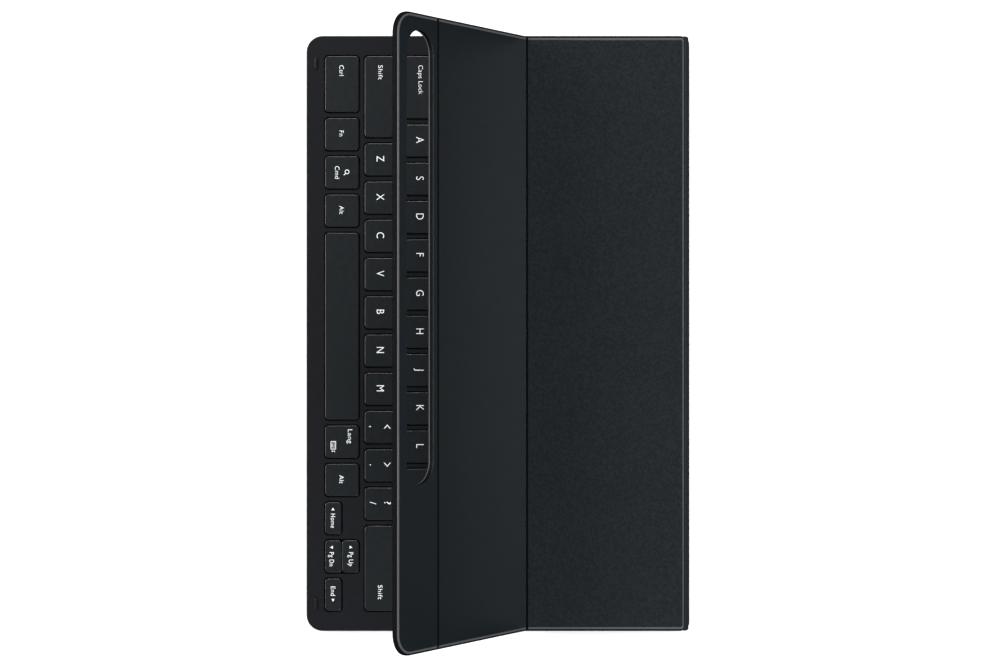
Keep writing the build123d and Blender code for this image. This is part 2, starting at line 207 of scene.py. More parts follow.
def cells(tree, vector, scale):
    """Cells that rise from their edges, like pebbles."""
    node = tree.nodes.new("ShaderNodeTexVoronoi")
    node.feature = "DISTANCE_TO_EDGE"
    node.inputs["Scale"].default_value = scale
    tree.links.new(vector, node.inputs["Vector"])
    return node.outputs["Distance"]


def ramp(tree, value, out_low, out_high):
    """The middle of a noise's range becomes out_low to out_high, smoothly."""
    node = tree.nodes.new("ShaderNodeMapRange")
    node.interpolation_type = "SMOOTHSTEP"
    node.inputs["From Min"].default_value = 0.3
    node.inputs["From Max"].default_value = 0.7
    node.inputs["To Min"].default_value = out_low
    node.inputs["To Max"].default_value = out_high
    tree.links.new(value, node.inputs["Value"])
    return node.outputs["Result"]


def mixed_colour(tree, value, colour_a, colour_b):
    node = tree.nodes.new("ShaderNodeMix")
    node.data_type = "RGBA"
    node.inputs["A"].default_value = (*colour_a, 1)
    node.inputs["B"].default_value = (*colour_b, 1)
    tree.links.new(value, node.inputs["Factor"])
    return node.outputs["Result"]


def bump(tree, shader, height, distance, strength, onto=None):
    """Raises the surface by a height, on top of an earlier bump if one is given."""
    node = tree.nodes.new("ShaderNodeBump")
    node.inputs["Distance"].default_value = distance
    node.inputs["Strength"].default_value = strength
    tree.links.new(height, node.inputs["Height"])
    if onto is not None:
        tree.links.new(onto, node.inputs["Normal"])
    tree.links.new(node.outputs["Normal"], shader.inputs["Normal"])
    return node.outputs["Normal"]


def tinted(colour, factor):
    return tuple(channel * factor for channel in colour)


def leather_material(name, colour, gloss, shine):
    """Coated leather: a fine pebble grain, faint colour drift, slightly uneven gloss."""
    made, tree, shader = material(name, colour, gloss)
    vector = coordinates(tree)
    drift = noise(tree, vector, 35, 3)
    tree.links.new(
        mixed_colour(tree, drift, tinted(colour, 0.9), tinted(colour, 1.12)),
        shader.inputs["Base Color"],
    )
    roughness = ramp(tree, noise(tree, vector, 900), gloss - 0.04, gloss + 0.05)
    tree.links.new(roughness, shader.inputs["Roughness"])
    grain = bump(tree, shader, cells(tree, vector, 2600), 0.01 * MM, 0.2)
    bump(tree, shader, noise(tree, vector, 5200), 0.005 * MM, 0.2, grain)
    shader.inputs["Specular IOR Level"].default_value = shine
    return made


def lining_material():
    """Microfibre: soft and matt, with a short nap and a little sheen."""
    colour = (0.017, 0.0185, 0.0205)
    made, tree, shader = material("microfibre", colour, 0.92)
    vector = coordinates(tree)
    patches = noise(tree, vector, 60, 4)
    tree.links.new(
        mixed_colour(tree, patches, tinted(colour, 0.8), tinted(colour, 1.25)),
        shader.inputs["Base Color"],
    )
    nap = bump(tree, shader, noise(tree, vector, 7000, 4), 0.04 * MM, 0.8)
    bump(tree, shader, noise(tree, vector, 900), 0.03 * MM, 0.4, nap)
    shader.inputs["Specular IOR Level"].default_value = 0.15
    shader.inputs["Sheen Weight"].default_value = 0.2
    shader.inputs["Sheen Roughness"].default_value = 0.5
    return made


def moulded_material(name, colour, roughness, grain_scale, grain_depth, shine=0.5, spread=0.06):
    """Moulded plastic with a spark-eroded texture, a little uneven in gloss."""
    made, tree, shader = material(name, colour, roughness)
    vector = coordinates(tree)
    drift = noise(tree, vector, 50)
    tree.links.new(
        mixed_colour(tree, drift, tinted(colour, 0.96), tinted(colour, 1.04)),
        shader.inputs["Base Color"],
    )
    gloss = ramp(tree, noise(tree, vector, 400, 3), roughness - spread, roughness + spread)
    tree.links.new(gloss, shader.inputs["Roughness"])
    bump(tree, shader, noise(tree, vector, grain_scale, 3), grain_depth, 0.6)
    shader.inputs["Specular IOR Level"].default_value = shine
    return made


def metal_material(name, colour, roughness, stretch):
    """Rolled or plated metal with fine lines along X."""
    made, tree, shader = material(name, colour, roughness)
    shader.inputs["Metallic"].default_value = 1
    vector = coordinates(tree, (1, stretch, stretch))
    lines = noise(tree, vector, 600, 3)
    tree.links.new(ramp(tree, lines, roughness - 0.08, roughness + 0.1), shader.inputs["Roughness"])
    bump(tree, shader, lines, 0.005 * MM, 0.5)
    return made


def ink_material():
    """White print on the keys, very slightly uneven."""
    colour = (0.80, 0.82, 0.82)
    made, tree, shader = material("key_print", colour, 0.55)
    vector = coordinates(tree)
    tree.links.new(
        mixed_colour(tree, noise(tree, vector, 3000), tinted(colour, 0.92), colour),
        shader.inputs["Base Color"],
    )
    return made


DARK = (0.0030, 0.0030, 0.0033)

LEATHER = leather_material("coated_leather", (0.0044, 0.0070, 0.0091), gloss=0.36, shine=0.5)
# a darker, matter copy of the leather for the spine and its hinge bends: the darker colour is painted shade
SHADED_BEND_LEATHER = leather_material("shaded_bend_leather", (0.0036, 0.0050, 0.0062), gloss=0.55, shine=0.2)
# near-black on the leather's edge walls, the slot's lower wall and the crease webs: painted shade
PAINTED_EDGE_SHADE = moulded_material(
    "painted_edge_shade", (0.0022, 0.0024, 0.0028), 0.6, grain_scale=4000, grain_depth=0.005 * MM, shine=0.06
)
# a light band on the leather's rounded edges and low on the slot's wall: a painted highlight line where the edges
# catch the lamps
PAINTED_HIGHLIGHT_LINE = moulded_material(
    "painted_highlight_line", (0.045, 0.048, 0.052), 0.45, grain_scale=4000, grain_depth=0.005 * MM, shine=0.4
)
LINING = lining_material()
DECK = moulded_material(
    "deck_plastic", (0.0040, 0.0044, 0.0064), 0.6, grain_scale=6500, grain_depth=0.008 * MM, shine=0.16
)
BASE = moulded_material(
    "base_plastic", (0.006, 0.006, 0.007), 0.6, grain_scale=3000, grain_depth=0.01 * MM, shine=0.3
)
KEYCAP = moulded_material(
    "keycap_plastic",
    (0.0048, 0.0072, 0.0088),
    0.34,
    grain_scale=8000,
    grain_depth=0.001 * MM,
    shine=0.74,
    spread=0.015,
)
BUMPER = moulded_material(
    "bumper_rubber", (0.0040, 0.0040, 0.0045), 0.45, grain_scale=4000, grain_depth=0.005 * MM, shine=0.4
)
SILICONE = moulded_material("silicone", DARK, 0.5, grain_scale=1500, grain_depth=0.01 * MM, shine=0.2)
ACETAL = moulded_material("link_plastic", DARK, 0.5, grain_scale=2000, grain_depth=0.01 * MM, shine=0.2)
FILM = moulded_material("printed_film", DARK, 0.4, grain_scale=300, grain_depth=0.01 * MM, shine=0.2)
CIRCUIT = moulded_material(
    "circuit_board", (0.012, 0.085, 0.045), 0.3, grain_scale=1200, grain_depth=0.01 * MM
)
FIBREBOARD = moulded_material(
    "stiffener_board", (0.08, 0.08, 0.08), 0.85, grain_scale=1800, grain_depth=0.04 * MM
)
STEEL = metal_material("steel_sheet", (0.46, 0.46, 0.47), 0.35, stretch=40)
NICKEL = metal_material("nickel_plate", (0.62, 0.61, 0.58), 0.22, stretch=4)
GOLD = metal_material("gold_plate", (0.83, 0.62, 0.25), 0.2, stretch=4)
INK = ink_material()

by_slot = {
    "cover_leather": LEATHER,
    "microfibre_lining": LINING,
    "stiffener_board": FIBREBOARD,
    "deck_plastic": DECK,
    "base_plastic": BASE,
    "keycap_plastic": KEYCAP,
    "steel_plate": STEEL,
    "printed_film": FILM,
    "silicone": SILICONE,
    "bumper_rubber": BUMPER,
    "link_plastic": ACETAL,
    "circuit_board": CIRCUIT,
    "magnet": NICKEL,
    "gold_contact": GOLD,
}
node_slot = {part["node"]: part["material_slot"] for part in frame["record"]["subparts"]}
for node, obj in frame["nodes"].items():
    obj.data.materials.clear()
    obj.data.materials.append(by_slot[node_slot[node]])


# ---- mesh helpers ----
def corner_arc(centre, radius, start):
    """A quarter turn of points about a corner's centre, from an angle in quarter turns."""
    points = []
    for step in range(ARC_STEPS + 1):
        angle = (start + step / ARC_STEPS) * math.pi / 2
        points.append(
            (centre[0] + radius * math.cos(angle), centre[1] + radius * math.sin(angle))
        )
    return points


def further_in(radius, inset):
    """A corner's radius on a ring further in; a rounded corner stays rounded."""
    return radius - inset if radius < LINE_CORNER else max(radius - inset, LINE_CORNER)


def rounded_loop(x0, x1, s0, s1, radii):
    """A rectangle with a radius for each corner, from (x1, s1) round by (x0, s1) and (x0, s0)."""
    corners = [(x1, s1, -1, -1), (x0, s1, 1, -1), (x0, s0, 1, 1), (x1, s0, -1, 1)]
    points = []
    for number, (x, s, inward_x, inward_s) in enumerate(corners):
        radius = max(radii[number], SMALLEST_CORNER)
        points += corner_arc((x + inward_x * radius, s + inward_s * radius), radius, number)
    return points


# How an edge rounds over: its radius, where the painted highlight line starts and ends as the edge turns
# from its wall (0) to its top face (90 degrees), and how far the line runs on across the face.
SIDE_EDGE = (1.3 * MM, 78, 90, 0.62 * MM)
FREE_EDGE = (1.7 * MM, 49, 88, 0.0)
REAR_EDGE = (0.95 * MM, 16, 70, 0.0)
FOLD_EDGE = (0.3 * MM, 50, 90, 0.0)
CREASE_EDGE = (0.3 * MM, 90, 90, 0.0)
# bands of the leather: painted shade, a painted highlight line, and plain leather
PAINTED_SHADE_BAND, PAINTED_HIGHLIGHT_BAND, PLAIN = range(3)


def edge_profile(edge):
    """An edge from the inner face up to the outer one: inset, height and what covers each band."""
    radius, line_from, line_to, line_run = edge
    bottom, top = skin_low, skin_high
    profile = []
    for step in range(INNER_STEPS + 1):
        turn = step / INNER_STEPS * math.pi / 2
        inset = INNER_ROUND * (1 - math.sin(turn))
        profile.append((inset, bottom + INNER_ROUND * (1 - math.cos(turn)), PAINTED_SHADE_BAND))
    for start, stop, steps, cover in (
        (0, line_from, 5, PAINTED_SHADE_BAND),
        (line_from, line_to, 6, PAINTED_HIGHLIGHT_BAND),
        (line_to, 90, 3, PLAIN),
    ):
        for step in range(steps):
            turn = math.radians(start + (stop - start) * step / steps)
            inset = radius * (1 - math.cos(turn)) + (line_run if cover == PLAIN else 0)
            profile.append((inset, top - radius * (1 - math.sin(turn)), cover))
    profile.append((radius + line_run, top, PLAIN))
    profile.append((radius + line_run + FLAT_RIM, top, PLAIN))
    return profile


def new_piece(name, bm, material_used, smooth=True):
    """An object from a bmesh, with one material or a tuple of them."""
    mesh = bpy.data.meshes.new(name)
    bmesh.ops.remove_doubles(bm, verts=bm.verts, dist=MERGE_DISTANCE)
    bmesh.ops.recalc_face_normals(bm, faces=bm.faces)
    bm.to_mesh(mesh)
    bm.free()
    for one in material_used if isinstance(material_used, tuple) else (material_used,):
        mesh.materials.append(one)
    for polygon in mesh.polygons:
        polygon.use_smooth = smooth
    obj = bpy.data.objects.new(name, mesh)
    bpy.context.collection.objects.link(obj)
    return obj


def join_rings(bm, rings, material_index=0):
    """Quads between each ring of vertices and the next."""
    for lower, upper in zip(rings, rings[1:]):
        count = len(lower)
        for i in range(count):
            j = (i + 1) % count
            face = bm.faces.new((lower[i], lower[j], upper[j], upper[i]))
            face.material_index = material_index


def cap(bm, outer_ring, holes=(), material_index=0):
    """A flat face inside a ring, or the band between it and a hole's ring."""
    if holes:
        join_rings(bm, [outer_ring, holes[0]], material_index)
    else:
        bm.faces.new(outer_ring).material_index = material_index


def slot_loop(slot, reach):
    """The slot's outline, grown by reach."""
    x0, x1, s0, s1 = slot
    radius = (s1 - s0) / 2 + reach
    return rounded_loop(x0 - reach, x1 + reach, s0 - reach, s1 + reach, [radius] * 4)


def slot_wall(bm, place, slot):
    """The wall of the slot: its rings, from the inner face up to the outer one."""
    bottom, top = skin_low, skin_high
    # the slot's lower wall is painted shade, with a painted highlight line low on it
    levels = [
        (INNER_ROUND + FLAT_RIM, bottom, PAINTED_SHADE_BAND),
        (INNER_ROUND, bottom, PAINTED_SHADE_BAND),
        (SLOT_CHAMFER[0], bottom + SLOT_CHAMFER[1], PAINTED_SHADE_BAND),
        (0.0, bottom + SLOT_LINE[0], PAINTED_HIGHLIGHT_BAND),
        (0.0, bottom + SLOT_LINE[1], PAINTED_SHADE_BAND),
    ]
    for step in range(ARC_STEPS + 1):
        turn = step / ARC_STEPS * math.pi / 2
        cover = PAINTED_SHADE_BAND if step < ARC_STEPS / 2 else PLAIN
        reach = SLOT_ROUND * (1 - math.cos(turn))
        levels.append((reach, top - SLOT_ROUND * (1 - math.sin(turn)), cover))
    levels.append((SLOT_ROUND + FLAT_RIM, top, PLAIN))
    rings = []
    for reach, level, _ in levels:
        rings.append([bm.verts.new(place(x, s, level)) for x, s in slot_loop(slot, reach)])
    for ring, above, (_, _, cover) in zip(rings, rings[1:], levels):
        join_rings(bm, [ring, above], cover)
    return rings


def panel_piece(name, place, s_range, ends, radii, slot=None):
    """A stiff panel's leather: each edge by its profile, an optional slot.

    place turns (x, s, height) into a point. ends are the edges at the low and the high s.
    """
    bm = bmesh.new()
    profiles = [edge_profile(edge) for edge in (SIDE_EDGE, *ends)]
    rings = []
    covers = []
    for (side, side_height, cover), (low, low_height, _), (high, high_height, _) in zip(*profiles):
        loop = rounded_loop(
            -half_width + side,
            half_width - side,
            s_range[0] + low,
            s_range[1] - high,
            [further_in(radius, side) for radius in radii],
        )
        ring = []
        for i, (x, s) in enumerate(loop):
            corner, step = divmod(i, ARC_STEPS + 1)
            toward_end = math.sin((corner + step / ARC_STEPS) * math.pi / 2) ** 2
            end_height = high_height if corner < 2 else low_height
            height = side_height + (end_height - side_height) * toward_end
            ring.append(bm.verts.new(place(x, s, height)))
        rings.append(ring)
        covers.append(cover)
    count = len(rings[0])
    for ring, above, cover in zip(rings, rings[1:], covers):
        for i in range(count):
            j = (i + 1) % count
            face = bm.faces.new((ring[i], ring[j], above[j], above[i]))
            # from the middle of the third corner to the middle of the fourth is the low end
            on_low_end = 2.5 * (ARC_STEPS + 1) - 1 <= i < 3.5 * (ARC_STEPS + 1)
            folded = on_low_end and ends[0] is FOLD_EDGE
            face.material_index = PLAIN if cover == PAINTED_HIGHLIGHT_BAND and folded else cover
    slot_rings = slot_wall(bm, place, slot) if slot else []
    cap(bm, rings[-1], slot_rings[-1:], PLAIN)
    cap(bm, rings[0], slot_rings[:1], PAINTED_SHADE_BAND)
    return new_piece(name, bm, (PAINTED_EDGE_SHADE, PAINTED_HIGHLIGHT_LINE, LEATHER))


def lower_place(x, s, height):
    return fold + Vector((x, 0, 0)) + ALONG_LOWER * s + UP * height


def upper_place(x, s, height):
    return fold + Vector((x, 0, 0)) + along_upper * s + normal_upper * height


# ---- cover leather ----
slot_high = strip_to - SLOT_FROM_EDGE
slot_box = (
    SLOT_CENTRE_X - SLOT_LENGTH / 2,
    SLOT_CENTRE_X + SLOT_LENGTH / 2,
    slot_high - SLOT_WIDTH,
    slot_high,
)
SQUARE = [SQUARE_CORNER] * 2

lower_leather = panel_piece(
    "lower_cover_leather",
    lower_place,
    (lower_from, lower_to),
    (FOLD_EDGE, REAR_EDGE),
    [REAR_CORNER] * 2 + SQUARE,
)
upper_leather = panel_piece(
    "upper_cover_leather",
    upper_place,
    (upper_from, upper_to),
    (CREASE_EDGE, CREASE_EDGE),
    SQUARE * 2,
)
strip_leather = panel_piece(
    "pen_strip_leather",
    upper_place,
    (strip_from, strip_to),
    (CREASE_EDGE, FREE_EDGE),
    [FREE_CORNER] * 2 + SQUARE,
    slot_box,
)
for piece, body, node in (
    (lower_leather, "lower_panel", "lower_panel_skin"),
    (upper_leather, "upper_panel", "upper_panel_skin"),
    (strip_leather, "pen_strip", "pen_strip_skin"),
):
    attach(piece, body)
    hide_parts(node)


# ---- linings ----
def lining_piece(name, place, s_range, radii, slot=None):
    """A microfibre inner face that stands a little proud, with a groove round it inside its border."""
    bm = bmesh.new()
    levels = [
        (0.0, skin_low + LINING_THICK),
        (0.0, skin_low),
        *((inset, skin_low - LINING_RISE * share) for inset, share in LINING_TURN),
    ]
    if not slot:
        levels += [
            (LINING_BORDER, skin_low - LINING_RISE),
            (LINING_BORDER + GROOVE_HALF, skin_low - LINING_RISE + LINING_GROOVE),
            (LINING_BORDER + 2 * GROOVE_HALF, skin_low - LINING_RISE),
            (LINING_BORDER + LINING_FLAT, skin_low - LINING_RISE),
        ]
    rings = []
    slot_rings = []
    for inset, level in levels:
        loop = rounded_loop(
            -half_width + LINING_INSET + inset,
            half_width - LINING_INSET - inset,
            s_range[0] + LINING_INSET + inset,
            s_range[1] - LINING_INSET - inset,
            [radius - LINING_INSET - inset for radius in radii],
        )
        rings.append([bm.verts.new(place(x, s, level)) for x, s in loop])
        if slot:
            ring = slot_loop(slot, LINING_INSET + inset)
            slot_rings.append([bm.verts.new(place(x, s, level)) for x, s in ring])
    join_rings(bm, rings)
    if slot:
        join_rings(bm, slot_rings)
    cap(bm, rings[-1], slot_rings[-1:])
    cap(bm, rings[0], slot_rings[:1])
    return new_piece(name, bm, LINING)


lower_lining = lining_piece(
    "lower_cover_lining", lower_place, (lower_from, lower_to), [REAR_CORNER] * 2 + SQUARE
)
upper_lining = lining_piece(
    "upper_cover_lining", upper_place, (upper_from, upper_to), SQUARE * 2
)
strip_lining = lining_piece(
    "pen_strip_cover_lining",
    upper_place,
    (strip_from, strip_to),
    [FREE_CORNER] * 2 + SQUARE,
    slot_box,
)
for lining, body, node in (
    (lower_lining, "lower_panel", "lower_panel_lining"),
    (upper_lining, "upper_panel", "upper_panel_lining"),
    (strip_lining, "pen_strip", "pen_strip_lining"),
):
    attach(lining, body)
    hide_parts(node)


# ---- what bends at the creases ----
def curved_line(points):
    """A smooth line through given points, with a few steps between each two."""
    line = []
    last = len(points) - 1
    for i in range(last):
        before, here = points[max(i - 1, 0)], points[i]
        there, after = points[i + 1], points[min(i + 2, last)]
        for step in range(CURVE_STEPS):
            t = step / CURVE_STEPS
            linear = (there - before) * t
            square = (2 * before - 5 * here + 4 * there - after) * t * t
            cube = (3 * here - before - 3 * there + after) * t**3
            line.append(0.5 * (2 * here + linear + square + cube))
    line.append(points[last])
    return line


def bending_strip(name, section, thickness, half_length, material_used, corner=0.0):
    """A thin strip along X that follows a section, thick on the section's left side.

    corner rounds its free corners off, seen from above; the section's last point stays put.
    """
    line = curved_line(section)
    back = []
    for i, point in enumerate(line):
        tangent = (line[min(i + 1, len(line) - 1)] - line[max(i - 1, 0)]).normalized()
        back.append(point + Vector((1, 0, 0)).cross(tangent) * thickness)
    loop = line + back[::-1]
    bm = bmesh.new()
    taper = max(corner, STRIP_TAPER)
    held = section[-1].y
    reach = section[0].y - held
    rings = []
    for side, stages in ((-1, STRIP_END), (1, STRIP_END[::-1])):
        for share, shrink in stages:
            pull = corner * (1 - math.sqrt(1 - (1 - share) ** 2)) / reach
            ring = []
            for i, point in enumerate(loop):
                pair = min(i, len(loop) - 1 - i)
                middle = (line[pair] + back[pair]) / 2
                moved = middle + (point - middle) * shrink
                y = moved.y - pull * (moved.y - held)
                ring.append(bm.verts.new((side * (half_length - share * taper), y, moved.z)))
            rings.append(ring)
    join_rings(bm, rings)
    bm.faces.new(rings[0])
    bm.faces.new(rings[-1])
    return new_piece(name, bm, material_used)


web_top = skin_high - WEB_DEPTH


def crease_strips(title, side_a, side_b, half_gap, middle):
    """The leather and, under it, the lining that join two panels across a crease.

    side_a and side_b turn (x, distance from the crease, height) into points on the two panels,
    and middle turns a height into a point between them.
    """
    reach = half_gap + WEB_TUCK
    leather_level = web_top
    lining_level = web_top - WEB_THICK

    def section(level):
        return [
            side_a(0, reach, level),
            side_a(0, half_gap, level),
            middle(level - WEB_DIP),
            side_b(0, half_gap, level),
            side_b(0, reach, level),
        ]

    # the leather web deep in the crease is painted shade, so the groove stays dark
    leather = bending_strip(
        f"{title}_leather", section(leather_level), WEB_THICK, half_width - WEB_INSET, PAINTED_EDGE_SHADE
    )
    lining = bending_strip(
        f"{title}_lining", section(lining_level), WEB_THICK, half_width - WEB_LINING_INSET, LINING
    )
    for strip, slot, level in (
        (leather, "cover_leather", leather_level),
        (lining, "microfibre_lining", lining_level),
    ):
        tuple(side_a(0, half_gap, level))
        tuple(side_b(0, half_gap, level))
        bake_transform(strip)


def fold_middle(height):
    """On the bisector of the fold."""
    return fold + (normal_upper + UP).normalized() * height


def beyond_crease_place(x, s, height):
    """On the strip beside the slot, counted from its crease."""
    return crease + Vector((x, 0, 0)) + along_upper * s + normal_upper * height


def before_crease_place(x, s, height):
    """On the front half of the cover, counted back from the same crease."""
    return crease + Vector((x, 0, 0)) - along_upper * s + normal_upper * height


def crease_middle(height):
    return crease + normal_upper * height


crease_strips(
    "fold",
    upper_place,
    lower_place,
    upper_from,
    fold_middle,
)
crease_strips(
    "crease",
    beyond_crease_place,
    before_crease_place,
    strip_from - (crease - fold).dot(along_upper),
    crease_middle,
)

# ---- spine ----
spine_low, spine_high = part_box("spine_skin")
spine_half = spine_high.x


def spine_piece():
    """The spine's leather: a rounded upright bar with rounded ends."""
    bm = bmesh.new()
    radius = (spine_high.y - spine_low.y) / 2 - SPINE_PLAY
    rings = []
    for side, stages in ((-1, SPINE_END), (1, SPINE_END[::-1])):
        for from_end, share in stages:
            inset = share * SPINE_END_ROUND
            loop = rounded_loop(
                spine_low.y + inset,
                spine_high.y - inset,
                spine_low.z + inset,
                spine_high.z - inset,
                [radius - inset] * 4,
            )
            x = side * (spine_half - from_end)
            rings.append([bm.verts.new((x, y, z)) for y, z in loop])
    join_rings(bm, rings)
    bm.faces.new(rings[0])
    bm.faces.new(rings[-1])
    return new_piece("spine_leather", bm, SHADED_BEND_LEATHER)


spine_leather = spine_piece()
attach(spine_leather, "spine")
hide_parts("spine_skin")


def beside(axis, y, z):
    """A point beside a crease's axis, in millimetres."""
    return Vector((0, axis.y + y * MM, axis.z + z * MM))


top_section = [
    beside(cover_axis, 1.85, -1.6),
    beside(cover_axis, 1.88, -0.7),
    beside(cover_axis, 1.45, -0.02),
    beside(cover_axis, 0.75, 0.16),
    beside(cover_axis, 0.1, -0.05),
    beside(cover_axis, -0.75, -0.15),
]
top_bend = bending_strip(
    "cover_hinge_leather",
    top_section,
    COVER_BEND_THICK,
    half_width - COVER_BEND_INSET,
    SHADED_BEND_LEATHER,
    COVER_BEND_CORNER,
)
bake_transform(top_bend)

bottom_section = [
    beside(spine_axis, -0.9, -0.12),
    beside(spine_axis, -0.3, -0.3),
    beside(spine_axis, 0.12, -0.22),
    beside(spine_axis, 0.32, 0.15),
    beside(spine_axis, 0.24, 0.7),
    beside(spine_axis, 0.05, 1.3),
]
bottom_bend = bending_strip(
    "spine_hinge_leather",
    bottom_section,
    SPINE_BEND_THICK,
    spine_half - SPINE_BEND_INSET,
    SHADED_BEND_LEATHER,
)
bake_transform(bottom_bend)


# ---- key legends ----
def outline_mesh(text, height):
    """A word as a flat mesh, its capitals this high, centred on the origin."""
    curve = bpy.data.curves.new("print", "FONT")
    curve.body = text
    curve.align_x = "CENTER"
    curve.align_y = "CENTER"
    curve.size = height / CAPITAL_SHARE
    curve.space_character = LETTER_SPACING
    curve.offset = LETTER_WEIGHT * height
    curve.resolution_u = 6
    carrier = bpy.data.objects.new("print", curve)
    bpy.context.collection.objects.link(carrier)
    bpy.context.view_layer.update()
    depsgraph = bpy.context.evaluated_depsgraph_get()
    mesh = bpy.data.meshes.new_from_object(carrier.evaluated_get(depsgraph))
    bpy.data.objects.remove(carrier)
    bpy.data.curves.remove(curve)
    return mesh


class Print:
    """Collects the print on the keys of one body."""

    def __init__(self, body):
        self.body = body
        self.bm = bmesh.new()
        self.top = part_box(body)[1].z + LEGEND_LIFT

    def add_mesh(self, mesh, x, y, flat):
        start = len(self.bm.verts)
        self.bm.from_mesh(mesh)
        self.bm.verts.ensure_lookup_table()
        for vertex in self.bm.verts[start:]:
            vertex.co = Vector((vertex.co.x * flat + x, vertex.co.y + y, self.top))
        bpy.data.meshes.remove(mesh)

    def word(self, text, x, y, height, align="centre", flat=1.0):
        """A word whose middle, left or right end is at x; flat scales its width."""
        mesh = outline_mesh(text, height)
        low = min(v.co.x for v in mesh.vertices) * flat
        high = max(v.co.x for v in mesh.vertices) * flat
        shift = {"centre": -(low + high) / 2, "left": -low, "right": -high}[align]
        self.add_mesh(mesh, x + shift, y, flat)

    def polygon(self, points):
        self.bm.faces.new([self.bm.verts.new((x, y, self.top)) for x, y in points])

    def bracket(self, x, y, point):
        """An angle bracket; point is -1 when it points left and 1 when it points right."""
        width, height = BRACKET_SIZE
        tip = x + point * width / 2
        end = x - point * width / 2
        for side in (-1, 1):
            self.polygon(
                [
                    (tip, y),
                    (tip - point * BRACKET_STROKE * 1.3, y),
                    (end, y + side * (height / 2 - BRACKET_STROKE * 1.2)),
                    (end, y + side * height / 2),
                ]
            )

    def bar(self, x, y, width, depth):
        """An upright rectangle about its middle."""
        w, d = width / 2, depth / 2
        self.polygon([(x - w, y - d), (x + w, y - d), (x + w, y + d), (x - w, y + d)])

    def triangle(self, x, y, size, turn):
        """A small arrow head that points right, turned by quarter turns."""
        cos, sin = math.cos(turn * math.pi / 2), math.sin(turn * math.pi / 2)
        points = []
        for px, py in ((-0.42, -0.5), (0.45, 0.0), (-0.42, 0.5)):
            points.append((x + size * (px * cos - py * sin), y + size * (px * sin + py * cos)))
        self.polygon(points)

    def ring(self, x, y, radius, width):
        loops = []
        for r in (radius - width / 2, radius + width / 2):
            loop = []
            for step in range(RING_STEPS):
                turn = 2 * math.pi * step / RING_STEPS
                place = (x + r * math.cos(turn), y + r * math.sin(turn), self.top)
                loop.append(self.bm.verts.new(place))
            loops.append(loop)
        join_rings(self.bm, loops)

    def done(self):
        """Makes the piece, facing up, and lets it ride on its body."""
        piece = new_piece(f"print_{self.body}", self.bm, INK, smooth=False)
        for polygon in piece.data.polygons:
            if polygon.normal.z < 0:
                polygon.flip()
        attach(piece, self.body)


def middle_of(node):
    low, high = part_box(node)
    return (low.x + high.x) / 2, (low.y + high.y) / 2


def one_word(node, text, height=WORD_HEIGHT, side="centre", drop=LEGEND_DROP, flat=1.0):
    """A word on a key: in the middle, or near its left or right edge."""
    low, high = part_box(node)
    x, y = middle_of(node)
    x += WORD_SHIFT
    if side == "left":
        x = low.x + LEFT_MARGIN
    elif side == "right":
        x = high.x - RIGHT_MARGIN
    prints = Print(node)
    prints.word(text, x, y - drop, height, side, flat=flat)
    prints.done()


one_word("ctrl_key", "Ctrl", side="left")
one_word("fn_key", "Fn")
one_word("left_alt_key", "Alt")
one_word("right_alt_key", "Alt")
one_word("left_shift_key", "Shift", side="left", drop=LEFT_SHIFT_DROP, flat=SHIFT_FLAT)
one_word("right_shift_key", "Shift", side="right", drop=RIGHT_SHIFT_DROP, flat=SHIFT_FLAT)
one_word("caps_lock_key", "Caps Lock", side="left")
for letter in "zxcvbnmasdfghjkl":
    one_word(f"{letter}_key", letter.upper(), LETTER_HEIGHT, drop=LETTER_DROP, flat=LETTER_FLAT)

for node, point, plain in (("comma_key", -1, ","), ("period_key", 1, "."), ("slash_key", 0, "/")):
    x, y = middle_of(node)
    x += WORD_SHIFT
    prints = Print(node)
    if point:
        prints.bracket(x, y + PUNCTUATION_RISE, point)
    else:
        prints.word("?", x, y + PUNCTUATION_RISE, SYMBOL_HEIGHT, flat=QUESTION_FLAT)
    prints.word(plain, x, y - PUNCTUATION_DROP, SYMBOL_HEIGHT, flat=PUNCTUATION_FLAT)
    prints.done()

# the word and a magnifier: a ring and its handle
x, y = middle_of("command_key")
prints = Print("command_key")
prints.word("Cmd", x, y - 2.4 * MM, WORD_HEIGHT)
prints.ring(x - 0.3 * MM, y + 2.5 * MM, radius=0.95 * MM, width=0.3 * MM)
handle = [(0.35, 1.65), (1.15, 0.85), (1.4, 1.1), (0.6, 1.9)]
prints.polygon([(x + right * MM, y + up * MM) for right, up in handle])
prints.done()

# the word and a small keyboard: its frame, two arrow heads, two rows of keys and a space bar
x, y = middle_of("language_key")
prints = Print("language_key")
prints.word("Lang", x - 2.6 * MM, y + 3.85 * MM, WORD_HEIGHT, flat=1.17)
icon_x, icon_y = x + 1.7 * MM, y - 4.15 * MM
frame_line = 0.25 * MM
dot_depth = 0.26 * MM
for side in (-1, 1):
    prints.bar(icon_x, icon_y + side * 1.15 * MM, 3.9 * MM, frame_line)
    prints.bar(icon_x + side * 1.85 * MM, icon_y, frame_line, 2.1 * MM)
    prints.triangle(icon_x + 2.85 * MM, icon_y + side * 0.6 * MM, 0.8 * MM, side)
for row in (-0.1, 0.55):
    for column in range(-2, 3):
        prints.bar(icon_x + column * 0.66 * MM, icon_y + row * MM, 0.3 * MM, dot_depth)
prints.bar(icon_x, icon_y - 0.65 * MM, 1.8 * MM, dot_depth)
prints.done()

